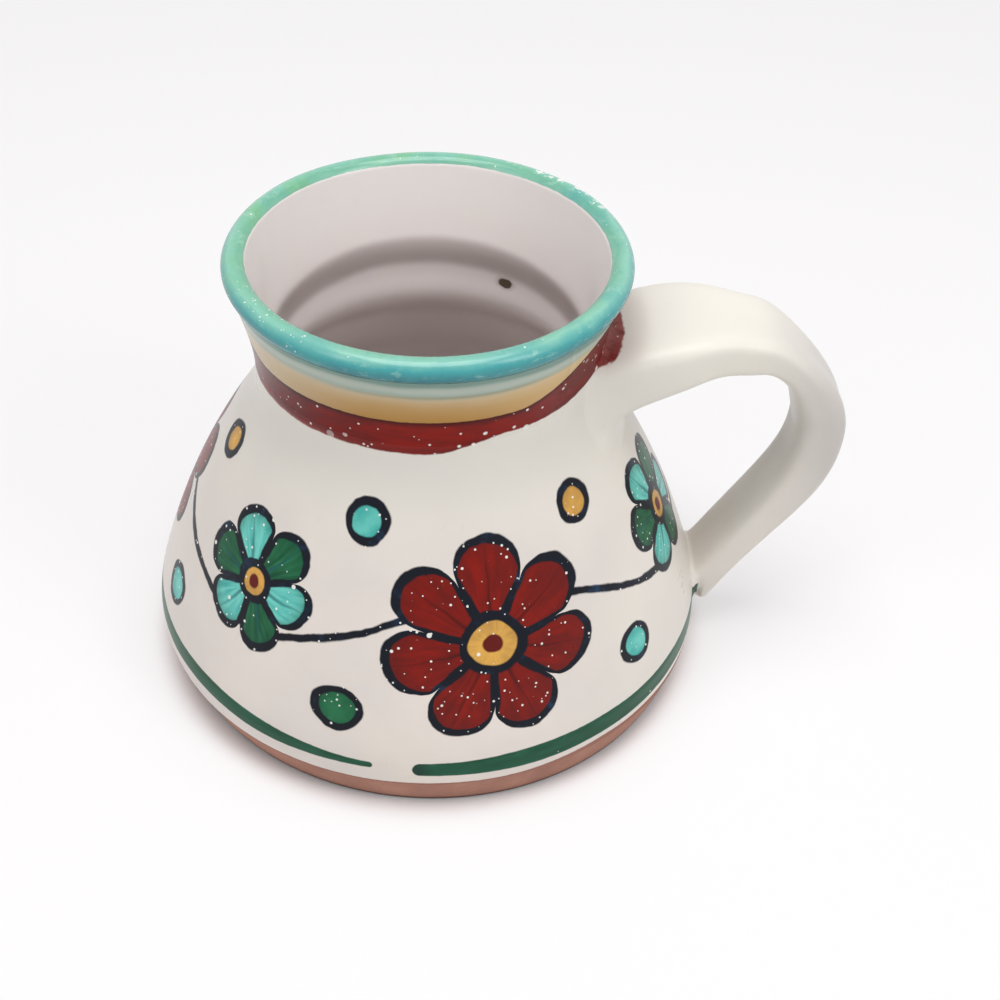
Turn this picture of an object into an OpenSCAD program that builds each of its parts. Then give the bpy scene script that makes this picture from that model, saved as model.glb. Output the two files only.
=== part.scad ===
// A wheel-thrown earthenware mug: a wide belly, a narrow neck, a rolled lip and a pulled strap handle.
// Millimetres. The origin is at the centre of the foot, +Z is up and the handle lies toward +X.

/* [Thrown body] */
// Height from the table to the top of the lip
mug_h = 100; // [96:1:108]
// Diameter of the clay foot at the table
foot_d = 115.4; // [110:0.2:118]
// Diameter of the widest belt, just above the foot
belly_d = 123.8; // [121:0.2:130]
// Height of the widest belt
belly_z = 12.5; // [11:0.5:15]
// Diameter where the belt turns into the cone
hip_d = 120.8; // [118:0.2:123]
// Height where the belt turns into the cone
hip_z = 20; // [18:0.5:24]
// Diameter at the top of the cone, where the wall starts to turn upright
shoulder_d = 81; // [76:0.5:86]
// Height of the top of the cone
shoulder_z = 62; // [58:0.5:65]
// Outer diameter at the narrowest part of the neck
neck_d = 72.8; // [70:0.2:76]
// Height of the narrowest part of the neck
neck_z = 74.5; // [71:0.5:77]
// Outer diameter of the lip
rim_d = 83.4; // [80:0.2:88]
// Radius of the rolled bead along the lip
bead_r = 2.5; // [2.2:0.1:3]
// Outward lean of the wall at the foot, in mm for each mm of height
foot_lean = 0.45; // [0.3:0.05:0.55]
// Inward lean of the wall at the hip
hip_lean = 0.32; // [0.2:0.02:0.4]
// Inward lean of the wall at the shoulder
shoulder_lean = 0.68; // [0.5:0.02:0.8]
// Outward lean of the wall under the lip
flare_lean = 0.3; // [0.2:0.02:0.4]

/* [Walls and foot] */
// Wall just under the lip, with its glaze
lip_wall = 3.8; // [3.4:0.1:4.4]
// Wall at the neck
neck_wall = 5; // [4:0.1:6]
// Wall at the belly
belly_wall = 6.5; // [5:0.1:8]
// Thickness of the floor of the cup
floor_t = 6; // [5:0.2:8]
// Radius of the round corner between the floor and the wall inside
floor_corner_r = 12; // [8:0.5:16]
// Width of the turned ring that the mug stands on
foot_ring_w = 7; // [5:0.5:12]
// Depth of the turned recess inside the foot ring
foot_recess = 1.8; // [1:0.1:3]
// Bevel where the wiped foot meets the table
foot_bevel = 0.6; // [0.4:0.1:1]
// Height where the finger rings that throwing left inside begin, under the lip
throw_top = 82; // [78:0.5:86]
// Spacing of those finger rings
throw_pitch = 15; // [11:0.5:18]
// Depth of those finger rings
throw_depth = 1.4; // [0.4:0.1:1.8]

/* [Glaze] */
// Thickness of the fired glaze
glaze_t = 0.4; // [0.3:0.05:0.6]
// Height of the bare clay left above the table
bare_h = 7; // [5:0.5:9]
// Height of the lower edge of the green line round the foot
line_z = 11.3; // [10:0.1:12.5]
// Width of the green line
line_h = 3.2; // [2:0.1:4]
// Height of the thin wash under the lip
wash_h = 4.7; // [3:0.1:6]
// Height of the ochre band
ochre_h = 7; // [5:0.1:8]
// Height of the brick red band
red_h = 6.2; // [4:0.1:7]

/* [Handle] */
// Width of the strap at its upper root
root_w = 29.5; // [26:0.5:33]
// Thickness of the strap at its upper root
root_t = 15.4; // [12:0.2:17]
// Width of the strap at its crown
crown_w = 24; // [21:0.5:28]
// Thickness of the strap at its crown
crown_t = 7.4; // [6:0.2:10]
// Width of the strap at the outer bend
bend_w = 16.5; // [15:0.5:22]
// Thickness of the strap at the outer bend
bend_t = 11.4; // [9:0.2:13]
// Width of the strap at its tail
tail_w = 16; // [14:0.5:20]
// Thickness of the strap at its tail
tail_t = 7.8; // [6:0.2:9]
// How far the strap's centre line starts inside the neck
root_depth = 10.4; // [8:0.2:13]
// Height where the centre line starts
root_z = 66.5; // [65:0.5:68]
// Upward slope of the strap where it leaves the neck
root_rise_deg = 31; // [26:1:38]
// How far the crown lies beyond the neck
crown_out = 32.6; // [31:0.2:38]
// Height of the centre line at the crown
crown_z = 79; // [76:0.2:81]
// How far the outer bend lies beyond the belly
bend_out = 23.4; // [20:0.2:27]
// Height of the centre line at the outer bend
bend_z = 57.4; // [56:0.2:62]
// Height of the centre line where the tail meets the belly
tail_z = 12.3; // [11:0.1:14]
// Angle between the tail and the upright where it meets the belly
tail_lean_deg = 30; // [25:1:36]
// How squarely the strap's edges are rounded: 2 is an ellipse
strap_square = 4.4; // [3:0.1:5]
// Depth of the soft groove that pulling left along the strap's outer face
groove_t = 0.6; // [0.2:0.1:1]
// Swell of the pressed clay round the upper root, at the wall
upper_flare = 2.2; // [1.6:0.1:2.8]
// Swell of the pressed clay round the lower root, at the wall
lower_flare = 0.7; // [0.5:0.1:1.2]
// How much more the clay swells in the corner under each root
under_flare_share = 3; // [1:0.1:4]
// How much further the clay under the upper root is drawn down the shoulder
upper_smear = 6; // [3:0.5:8]
// How far the pressed clay runs out along the strap
joint_reach = 12; // [9:0.5:15]

/* [Hidden] */
$fn = 96;

// Greatest height of one facet of the wall's outline
profile_step = 2.4;
// Angles on the lip's bead where the outer wall and the inner wall run into it, and between its points
bead_out_deg = -55;
bead_in_deg = 205;
bead_step_deg = 20;
// Angle between the points of the round corner inside
corner_step_deg = 15;
bead_x = rim_d / 2 - bead_r;
bead_z = mug_h - bead_r;
lip_r = bead_x + bead_r * cos(bead_out_deg);
lip_z = bead_z + bead_r * sin(bead_out_deg);

wash_z = lip_z - wash_h;
ochre_z = wash_z - ochre_h;
red_z = ochre_z - red_h;
line_top = line_z + line_h;
floor_z = foot_recess + floor_t;
corner_z = floor_z + floor_corner_r;
foot_inner_r = foot_d / 2 - foot_ring_w;
widest_r = max(belly_d, hip_d) / 2;

// Wall stations from the foot to the lip: height, outer radius with glaze, lean
stations = [
    [0, foot_d / 2 + glaze_t, foot_lean],
    [belly_z, belly_d / 2, 0],
    [hip_z, hip_d / 2, -hip_lean],
    [shoulder_z, shoulder_d / 2, -shoulder_lean],
    [neck_z, neck_d / 2, 0],
    [lip_z, lip_r, flare_lean]
];
wall_table = [[hip_z, belly_wall], [neck_z, neck_wall], [lip_z, lip_wall]];

// Smooth curve between two stations, with t from 0 to 1
function between(a, b, t) =
    a[1] * (2 * pow(t, 3) - 3 * pow(t, 2) + 1) + b[1] * (3 * pow(t, 2) - 2 * pow(t, 3))
    + (b[0] - a[0]) * (a[2] * (pow(t, 3) - 2 * pow(t, 2) + t) + b[2] * (pow(t, 3) - pow(t, 2)));
function stretch(z, i = 0) = i < len(stations) - 2 && z > stations[i + 1][0] ? stretch(z, i + 1) : i;
function wall_r(z) =
    let (i = stretch(z), a = stations[i], b = stations[i + 1]) between(a, b, (z - a[0]) / (b[0] - a[0]));
function throw_ring(z) = z < throw_top ? throw_depth * (1 - cos(360 * (throw_top - z) / throw_pitch)) / 2 : 0;
function inner_r(z) = wall_r(z) - lookup(z, wall_table) + throw_ring(z);

function span(low, high) =
    let (n = max(2, ceil((high - low) / profile_step))) [for (i = [0 : n]) low + (high - low) * i / n];
function joined(edges) = [
    for (k = [0 : len(edges) - 2])
        let (s = span(edges[k], edges[k + 1])) for (i = [k == 0 ? 0 : 1 : len(s) - 1]) s[i]
];
function flipped(v) = [for (i = [len(v) - 1 : -1 : 0]) v[i]];
function outer_face(heights, inset) = [for (z = heights) [wall_r(z) - inset, z]];
function bead_face(inset) = [
    for (a = [bead_out_deg : bead_step_deg : bead_in_deg])
        [bead_x + (bead_r - inset) * cos(a), bead_z + (bead_r - inset) * sin(a)]
];
// The inside of the cup from the lip down the wall and over the floor to the axis
function inner_face(inset) = concat(
    [for (z = flipped(joined([corner_z, neck_z, lip_z]))) [inner_r(z) + inset, z]],
    [for (a = [corner_step_deg : corner_step_deg : 90]) corner_point(a, floor_corner_r + inset, inset)],
    [[0, floor_z - inset]]
);
// The round corner never comes nearer to the outside than the belly's wall
function corner_point(a, r, inset) =
    let (z = corner_z - r * sin(a))
    [min(inner_r(corner_z) - floor_corner_r + r * cos(a), wall_r(z) - belly_wall + inset), z];
clay_heights = joined([foot_bevel, bare_h, line_z, line_top, red_z, ochre_z, wash_z, lip_z]);
clay_outer = outer_face(clay_heights, glaze_t);

// Strap stations from root to tail: x, z, heading, half width, half thickness
strap = [
    [neck_d / 2 - root_depth, root_z, root_rise_deg, root_w / 2, root_t / 2],
    [neck_d / 2 + crown_out, crown_z, 0, crown_w / 2, crown_t / 2],
    [widest_r + bend_out, bend_z, -90, bend_w / 2, bend_t / 2],
    [widest_r + glaze_t, tail_z, -90 - tail_lean_deg, tail_w / 2, tail_t / 2]
];
// How far each stretch holds the heading of its two ends, as shares of its chord
pull_shares = [[0.75, 0.24], [0.26, 0.25], [0.3, 0.56]];
stretch_rings = 14;
tail_rings = 4;
tail_round_deg = 72;
strap_sides = 24;
root_rings = 8;
tail_joint_rings = 5;

function heading(deg) = [cos(deg), sin(deg)];
function spot(s) = [s[0], s[1]];
function pulls(k) =
    let (a = strap[k], b = strap[k + 1], chord = norm(spot(b) - spot(a)))
    [spot(a), spot(a) + pull_shares[k][0] * chord * heading(a[2]),
     spot(b) - pull_shares[k][1] * chord * heading(b[2]), spot(b)];
function curve(p, t) =
    pow(1 - t, 3) * p[0] + 3 * pow(1 - t, 2) * t * p[1] + 3 * (1 - t) * pow(t, 2) * p[2] + pow(t, 3) * p[3];
function course(p, t) =
    pow(1 - t, 2) * (p[1] - p[0]) + 2 * (1 - t) * t * (p[2] - p[1]) + pow(t, 2) * (p[3] - p[2]);
function eased(t) = pow(t, 2) * (3 - 2 * t);
function strap_frame(k, t) =
    let (p = pulls(k), c = curve(p, t), d = course(p, t), a = strap[k], b = strap[k + 1], e = eased(t))
    [c[0], c[1], atan2(d[1], d[0]), a[3] + (b[3] - a[3]) * e, a[4] + (b[4] - a[4]) * e];
// The tail is rounded off over half its thickness beyond the last station
function tail_frame(q) =
    let (s = strap[3], c = spot(s) + s[4] * sin(q) * heading(s[2])) [c[0], c[1], s[2], s[3] * cos(q), s[4] * cos(q)];
frames = concat(
    [for (k = [0 : 2]) for (i = [0 : stretch_rings - 1]) strap_frame(k, i / stretch_rings)],
    [for (i = [0 : tail_rings]) tail_frame(tail_round_deg * i / tail_rings)]
);
last_frame = len(frames) - 1;
tail_joint_start = last_frame - tail_rings - tail_joint_rings;

function rounded(v) = sign(v) * pow(abs(v), 2 / strap_square);
// The groove is deepest in the middle of the outer face and runs out toward the strap's edges
function groove(a) = a < 180 ? groove_t * pow(1 - pow(rounded(cos(a)), 2), 3) : 0;
// One ring of the strap's surface; under is the growth of the half that faces the body
function ring(f, grow, under) = [
    for (k = [0 : strap_sides - 1])
        let (a = 360 * k / strap_sides, y = (f[3] + grow) * rounded(cos(a)),
             n = (f[4] + (k > strap_sides / 2 ? under : grow)) * rounded(sin(a)) - groove(a))
        [f[0] - n * sin(f[2]), y, f[1] + n * cos(f[2])]
];
// Pressed clay swells toward each root and runs out level with the glaze
function swell(f, root) = pow(max(0, 1 - norm(spot(f) - root) / joint_reach), 2);
upper_root = [neck_d / 2, root_z + root_depth * sin(root_rise_deg)];
lower_root = spot(strap[3]);

function strap_skin(low, high, grow) = [for (i = [low : high]) each ring(frames[i], grow, grow)];
function joint_skin(low, high, root, flare, smear) = [
    for (i = [low : high])
        let (s = swell(frames[i], root), grow = flare * s)
            each ring(frames[i], grow, grow * under_flare_share + smear * pow(s, 1.5))
];
upper_skin = joint_skin(0, root_rings, upper_root, upper_flare, upper_smear);
lower_skin = joint_skin(tail_joint_start, last_frame, lower_root, lower_flare, 0);
function side_faces(rings, start, turn) = [
    for (i = [0 : rings - 2]) for (k = [0 : strap_sides - 1])
        let (m = (k + 1) % strap_sides, a = start + i * strap_sides + k, b = start + i * strap_sides + m,
             c = a + strap_sides, d = b + strap_sides)
        for (f = [[a, c, d], [a, d, b]]) turn ? f : [f[2], f[1], f[0]]
];
function end_faces(ring_at, shift, turn) = [
    for (k = [0 : strap_sides - 1])
        let (m = (k + 1) % strap_sides, a = ring_at + k, b = ring_at + m)
        for (f = [[a, b, b + shift], [a, b + shift, a + shift]]) turn ? f : [f[2], f[1], f[0]]
];

// A closed solid through a list of rings
module sweep(points) {
    rings = len(points) / strap_sides;
    first = [for (k = [0 : strap_sides - 1]) k];
    last = [for (k = [0 : strap_sides - 1]) (rings - 1) * strap_sides + k];
    polyhedron(points, concat([first], side_faces(rings, 0, true), [flipped(last)]), convexity = 6);
}

// A sleeve between two lists of rings that share the same frames
module sleeve(outer, inner) {
    rings = len(outer) / strap_sides;
    shift = len(outer);
    last = (rings - 1) * strap_sides;
    polyhedron(
        concat(outer, inner),
        concat(side_faces(rings, 0, true), side_faces(rings, shift, false),
            end_faces(0, shift, true), end_faces(last, shift, false)),
        convexity = 6
    );
}

// The thrown body with its hollow filled, for cutting what is joined to its wall
module filled_body() {
    rotate_extrude() polygon(concat([[0, foot_bevel]], clay_outer, [[0, lip_z]]));
    rotate_extrude() polygon(concat([[0, lip_z], [lip_r - glaze_t, lip_z]], bead_face(0), [[0, bead_z]]));
}

// One band of glaze over the clay
module glaze_band(low, high) {
    heights = span(low, high);
    rotate_extrude() polygon(concat(outer_face(heights, 0), flipped(outer_face(heights, glaze_t))));
}

// Leaves the places free where the two roots of the handle sit on the clay
module around_upper_root() {
    difference() {
        children();
        sweep(upper_skin);
    }
}

module around_lower_root() {
    difference() {
        children();
        sweep(lower_skin);
    }
}

module clay_body() {
    color("#9e6c5c")
        rotate_extrude()
            polygon(concat(
                [[0, foot_recess], [foot_inner_r, foot_recess], [foot_inner_r, 0], [foot_d / 2 - foot_bevel, 0]],
                clay_outer, bead_face(glaze_t), inner_face(glaze_t)
            ));
}

module handle() {
    color("#9e6c5c")
        difference() {
            sweep(strap_skin(0, last_frame, -glaze_t));
            filled_body();
        }
}

module upper_joint() {
    color("#d6cfc6")
        difference() {
            sleeve(upper_skin, strap_skin(0, root_rings, -glaze_t));
            filled_body();
        }
}

module lower_joint() {
    color("#d6cfc6")
        difference() {
            sleeve(lower_skin, strap_skin(tail_joint_start, last_frame, -glaze_t));
            filled_body();
        }
}

module inside_glaze() {
    color("#c9beb9")
        rotate_extrude()
            polygon(concat(
                [[bead_x + bead_r * cos(bead_in_deg), bead_z + bead_r * sin(bead_in_deg)]], inner_face(0),
                flipped(inner_face(glaze_t)),
                [[bead_x + (bead_r - glaze_t) * cos(bead_in_deg), bead_z + (bead_r - glaze_t) * sin(bead_in_deg)]]
            ));
}

module rim_glaze() {
    color("#5fc3b4")
        rotate_extrude()
            polygon(concat(bead_face(0), flipped(bead_face(glaze_t)), [[lip_r - glaze_t, lip_z]]));
}

module neck_wash() {
    color("#a9bab0") around_upper_root() glaze_band(wash_z, lip_z);
}

module ochre_band() {
    color("#e2b868") around_upper_root() glaze_band(ochre_z, wash_z);
}

module red_band() {
    color("#8f3128") around_upper_root() glaze_band(red_z, ochre_z);
}

module white_glaze() {
    color("#dcd8d2") around_upper_root() around_lower_root() glaze_band(line_top, red_z);
}

// The green line runs round the belly from one side of the handle's tail to the other
module foot_line() {
    color("#2b5f4b") around_lower_root() glaze_band(line_z, line_top);
}

module foot_glaze() {
    color("#dcd8d2") around_lower_root() glaze_band(bare_h, line_z);
}

module handle_glaze() {
    color("#dcd8d2")
        sleeve(strap_skin(root_rings, tail_joint_start, 0),
            strap_skin(root_rings, tail_joint_start, -glaze_t));
}

clay_body();
handle();
upper_joint();
lower_joint();
inside_glaze();
rim_glaze();
neck_wash();
ochre_band();
red_band();
white_glaze();
foot_line();
foot_glaze();
handle_glaze();
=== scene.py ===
import math
import bmesh
import bpy
from mathutils import Matrix, Vector, noise


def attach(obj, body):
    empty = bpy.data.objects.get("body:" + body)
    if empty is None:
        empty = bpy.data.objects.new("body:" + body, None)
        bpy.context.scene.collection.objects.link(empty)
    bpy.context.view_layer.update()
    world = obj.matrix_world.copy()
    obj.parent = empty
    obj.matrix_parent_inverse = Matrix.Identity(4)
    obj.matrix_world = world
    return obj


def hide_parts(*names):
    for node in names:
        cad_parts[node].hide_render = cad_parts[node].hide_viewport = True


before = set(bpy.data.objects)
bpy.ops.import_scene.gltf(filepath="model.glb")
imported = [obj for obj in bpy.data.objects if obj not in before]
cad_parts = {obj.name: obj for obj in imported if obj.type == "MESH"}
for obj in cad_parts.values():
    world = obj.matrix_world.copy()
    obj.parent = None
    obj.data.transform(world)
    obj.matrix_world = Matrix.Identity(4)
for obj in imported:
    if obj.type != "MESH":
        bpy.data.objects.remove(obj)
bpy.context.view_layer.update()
print("frame loaded:", len(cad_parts), "nodes")

# Every shape below is worked out in millimetres and brought to metres when its piece is finished.
thrown = {
    "height": 100, "footDia": 115.4, "bellyDia": 123.8, "bellyZ": 12.5, "hipDia": 120.8, "hipZ": 20,
    "shoulderDia": 81, "shoulderZ": 62, "neckDia": 72.8, "neckZ": 74.5, "rimDia": 83.4, "bead": 2.5,
    "leans": (.45, 0, -.32, -.68, 0, .3), "glaze": .4,
    "walls": ((20, 6.5), (74.5, 5), (95.45, 3.8)), "floor": 7.8, "corner": 12,
    "beadOut": -55, "beadIn": 165, "lipFoot": 84, "ringTop": 82, "ringPitch": 15, "ringDepth": 1.4,
    "deepRings": .5, "deepFrom": 56, "deepFade": 10,  # the finger rings far down are shallower
    "turns": 192, "row": 1.0, "bodyRow": 1.5, "linerTop": 97.6, "clayTop": 97.2,
    "sway": .3, "swayHigh": 38, "swayFull": 25,       # how far the wall wanders inwards
    "rimDip": .35,                                    # how far the lip wanders down
    "footSwell": 1.4, "swellTurn": 40,                # how far the foot swells toward the front right
}
bareZ, lineZ, lineTop, redZ, ochreZ, washZ = 8.3, 11.3, 14.5, 77.55, 83.75, 90.75

beadX = thrown["rimDia"] / 2 - thrown["bead"]
beadZ = thrown["height"] - thrown["bead"]
cornerTop = thrown["floor"] + thrown["corner"]


# A point of the lip's bead, or of the clay under its glaze, at an angle above straight outwards
def onBead(degrees, inset=0):
    a = math.radians(degrees)
    r = thrown["bead"] - inset
    return beadX + r * math.cos(a), beadZ + r * math.sin(a)


lipR, lipZ = onBead(thrown["beadOut"])
stations = list(zip(
    (0, thrown["bellyZ"], thrown["hipZ"], thrown["shoulderZ"], thrown["neckZ"], lipZ),
    (thrown["footDia"] / 2 + thrown["glaze"], thrown["bellyDia"] / 2, thrown["hipDia"] / 2,
     thrown["shoulderDia"] / 2, thrown["neckDia"] / 2, lipR),
    thrown["leans"]))


# The outside of the wall: a smooth curve through the stations
def wallRadius(z):
    k = 0
    while k < len(stations) - 2 and z > stations[k + 1][0]:
        k += 1
    (z0, r0, l0), (z1, r1, l1) = stations[k], stations[k + 1]
    t = (z - z0) / (z1 - z0)
    return (r0 * (2 * t**3 - 3 * t * t + 1) + r1 * (3 * t * t - 2 * t**3)
            + (z1 - z0) * (l0 * (t**3 - 2 * t * t + t) + l1 * (t**3 - t * t)))


def wallThickness(z):
    table = thrown["walls"]
    if z <= table[0][0]:
        return table[0][1]
    for (z0, w0), (z1, w1) in zip(table, table[1:]):
        if z <= z1:
            return w0 + (w1 - w0) * (z - z0) / (z1 - z0)
    return table[-1][1]


# The inside of the wall, with its finger rings; near the lip it runs smoothly into the bead
def innerRadius(z):
    low = thrown["lipFoot"]
    if z > low:
        start = innerRadius(low)
        slope = start - innerRadius(low - 1)
        end, top = onBead(thrown["beadIn"])
        rise = end - start - slope * (top - low)
        return start + slope * (z - low) + rise * ((z - low) / (top - low)) ** 2
    ring = 0
    if z < thrown["ringTop"]:
        shallow = min(1, max(0, (z - thrown["deepFrom"]) / thrown["deepFade"]))
        fade = thrown["deepRings"] + (1 - thrown["deepRings"]) * shallow
        turn = math.tau * (thrown["ringTop"] - z) / thrown["ringPitch"]
        ring = thrown["ringDepth"] * fade * (1 - math.cos(turn)) / 2
    return wallRadius(z) - wallThickness(z) + ring


def steps(low, high, size):
    n = max(2, math.ceil(abs(high - low) / size))
    return [low + (high - low) * k / n for k in range(n + 1)]


# A slow wandering between 0 and 1
def drift(x, y, z):
    return .5 + .5 * max(-1, min(1, 1.6 * noise.noise(Vector((x, y, z)))))


# The whole mug leans and swells a little, as a hand-thrown pot does; every piece is moved alike.
def handMade(p):
    r = math.hypot(p.x, p.y)
    if r < .001:
        return p
    c, s = p.x / r, p.y / r
    inwards = thrown["sway"] * drift(c * .9 + 4.1, s * .9, p.z / thrown["swayHigh"])
    inwards *= min(1, r / thrown["swayFull"])
    lower = thrown["rimDip"] * drift(c * 1.3, s * 1.3 + 7.7, 2.3) * (p.z / thrown["height"]) ** 2
    swellTo = math.radians(thrown["swellTurn"])
    toward = c * math.sin(swellTo) - s * math.cos(swellTo)
    if toward > 0 and 0 <= p.z < thrown["bellyZ"]:
        fade = 1 - (p.z / thrown["bellyZ"]) ** 1.5
        inwards -= thrown["footSwell"] * toward ** 1.5 * fade * min(1, r * 2 / thrown["footDia"]) ** 6
    return Vector((p.x - c * inwards, p.y - s * inwards, p.z - lower))


# Smooths a piece but for its creases, brings it to metres and hides the frame's nodes that it stands for
def finishPiece(name, bm, material, nodes, crease=40):
    bmesh.ops.remove_doubles(bm, verts=bm.verts, dist=.002)
    bmesh.ops.recalc_face_normals(bm, faces=bm.faces)
    for face in bm.faces:
        face.smooth = True
    for edge in bm.edges:
        edge.smooth = not (edge.is_manifold and edge.calc_face_angle(0) > math.radians(crease))
    for v in bm.verts:
        v.co = handMade(v.co)
    bmesh.ops.scale(bm, vec=(.001, .001, .001), verts=bm.verts)
    mesh = bpy.data.meshes.new(name)
    bm.to_mesh(mesh)
    bm.free()
    piece = bpy.data.objects.new(name, mesh)
    bpy.context.scene.collection.objects.link(piece)
    mesh.materials.append(material)
    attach(piece, "root")
    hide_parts(*nodes)
    return piece


# Turns a closed outline of (radius, height) points round the mug's axis.
def turnedShape(outline):
    bm = bmesh.new()
    points = [bm.verts.new((r, 0, z)) for r, z in outline]
    for ends in zip(points, points[1:] + points[:1]):
        bm.edges.new(ends)
    bmesh.ops.spin(bm, geom=bm.verts[:] + bm.edges[:], cent=(0, 0, 0), axis=(0, 0, 1), dvec=(0, 0, 0),
                   angle=math.tau, steps=thrown["turns"], use_merge=True)
    return bm


# A band of glaze on the wall from one height to another
def glazeBand(low, high):
    heights = steps(low, high, thrown["row"])
    outer = [(wallRadius(z), z) for z in heights]
    inner = [(wallRadius(z) - thrown["glaze"], z) for z in reversed(heights)]
    return turnedShape(outer + inner)


def srgb(r, g, b):
    def lin(v):
        v /= 255
        return v / 12.92 if v <= .04045 else ((v + .055) / 1.055) ** 2.4
    return lin(r), lin(g), lin(b), 1


# A shader value that takes part in sums
class Field:
    def __init__(self, tree, socket):
        self.tree, self.socket = tree, socket

    # Any node: its settings go in first, then the values or links of its sockets.
    def make(self, kind, settings, sockets, out=0):
        node = self.tree.nodes.new("ShaderNode" + kind)
        for key, value in (settings or {}).items():
            if key == "stops":
                while len(node.color_ramp.elements) < len(value):
                    node.color_ramp.elements.new(.5)
                for stop, (at, colour) in zip(node.color_ramp.elements, value):
                    stop.position, stop.color = at, colour
            else:
                setattr(node, key, value)
        for key, value in sockets.items():
            if isinstance(value, Field):
                self.tree.links.new(value.socket, node.inputs[key])
            else:
                node.inputs[key].default_value = value
        return Field(self.tree, node.outputs[out])

    def math(self, operation, *values):
        return self.make("Math", {"operation": operation}, dict(enumerate((self,) + values)))

    def __add__(self, other):
        return self.math("ADD", other)

    def __sub__(self, other):
        return self.math("SUBTRACT", other)

    def __mul__(self, other):
        return self.math("MULTIPLY", other)

    def __truediv__(self, other):
        return self.math("DIVIDE", other)

    def __abs__(self):
        return self.math("ABSOLUTE")

    def __neg__(self):
        return self.math("MULTIPLY", -1)

    def __radd__(self, other):
        return self.math("ADD", other)

    def __rmul__(self, other):
        return self.math("MULTIPLY", other)

    def __rsub__(self, other):
        return self.make("Math", {"operation": "SUBTRACT"}, {0: other, 1: self})

    def __rtruediv__(self, other):
        return self.make("Math", {"operation": "DIVIDE"}, {0: other, 1: self})

    def least(self, other):
        return self.math("MINIMUM", other)

    def most(self, other):
        return self.math("MAXIMUM", other)

    # 0 below low, 1 above high, eased between
    def rise(self, low, high):
        return self.make("MapRange", {"interpolation_type": "SMOOTHSTEP"},
                         {"Value": self, "From Min": low, "From Max": high})

    def fall(self, low, high):
        return 1 - self.rise(low, high)

    # Paints a colour over this one where the mask is 1
    def under(self, colour, mask):
        return self.make("Mix", {"data_type": "RGBA"}, {0: mask, 6: self, 7: colour}, 2)

    def length(self, other):
        return (self * self + other * other).math("SQRT")

    # The angle in degrees from the line along which other grows
    def angle(self, other):
        return self.math("ARCTAN2", other) * (180 / math.pi)


# What every material of the mug reads: places on it in millimetres, tones and noises
class Glaze:
    def __init__(self, name):
        self.material = bpy.data.materials.new(name)
        self.material.use_nodes = True
        tree = self.material.node_tree
        self.shader = tree.nodes["Principled BSDF"]
        self.spot = Field(tree, tree.nodes.new("ShaderNodeTexCoord").outputs["Object"])
        places = (self.spot.make("SeparateXYZ", None, {0: self.spot}, k) * 1000 for k in range(3))
        self.x, self.y, self.z = places
        self.r = self.x.length(self.y)
        self.turn = self.x.angle(-self.y)         # degrees round the mug: 0 at the front, 90 at the handle

    # A paint that goes from one tone to another with the mask
    def tone(self, mask, first, second):
        return self.spot.make("Mix", {"data_type": "RGBA"}, {0: mask, 6: paints[first], 7: paints[second]}, 2)

    # Noise whose patches are about size mm across, 0 on average and mostly within -1 and 1
    def noise(self, size, detail, shift=0, squash=(1, 1, 1), rough=.5):
        moved = (shift, shift * .7, shift * .3)
        spot = self.spot.make("Mapping", {"vector_type": "POINT"},
                              {"Vector": self.spot, "Location": moved, "Scale": squash})
        return self.grain(spot, 1000 / size, detail, rough)

    def grain(self, spot, scale, detail, rough=.5):
        value = self.spot.make("TexNoise", None, {"Vector": spot, "Scale": scale, "Detail": detail,
                                                  "Roughness": rough})
        return (value - .5) * 2.2

    # Round white specks: one at most in each cell, up to the given radius, in a share of the cells
    def specks(self, cell, radius, share, shift):
        spot = self.spot.make("Mapping", {"vector_type": "POINT"},
                              {"Vector": self.spot, "Location": (shift, shift, shift)})
        cells = self.spot.make("TexVoronoi", {"feature": "F1"}, {"Vector": spot, "Scale": 1000 / cell})
        lot = Field(cells.tree, cells.socket.node.outputs["Color"])
        chance = lot.make("SeparateColor", None, {0: lot}, 0)
        size = lot.make("SeparateColor", None, {0: lot}, 1)
        reach = radius / cell * (.5 + .5 * size * size)
        return (reach - cells).rise(0, .1 * radius / cell + .02) * chance.fall(share, share + .01)

    def bump(self, height, strength):
        return height.make("Bump", None, {"Height": height, "Strength": strength, "Distance": .001})

    def set(self, colour, roughness, normal, specular):
        for socket, value in (("Base Color", colour), ("Roughness", roughness), ("Normal", normal)):
            self.spot.tree.links.new(value.socket, self.shader.inputs[socket])
        self.shader.inputs["Specular IOR Level"].default_value = specular
        return self.material


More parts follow.
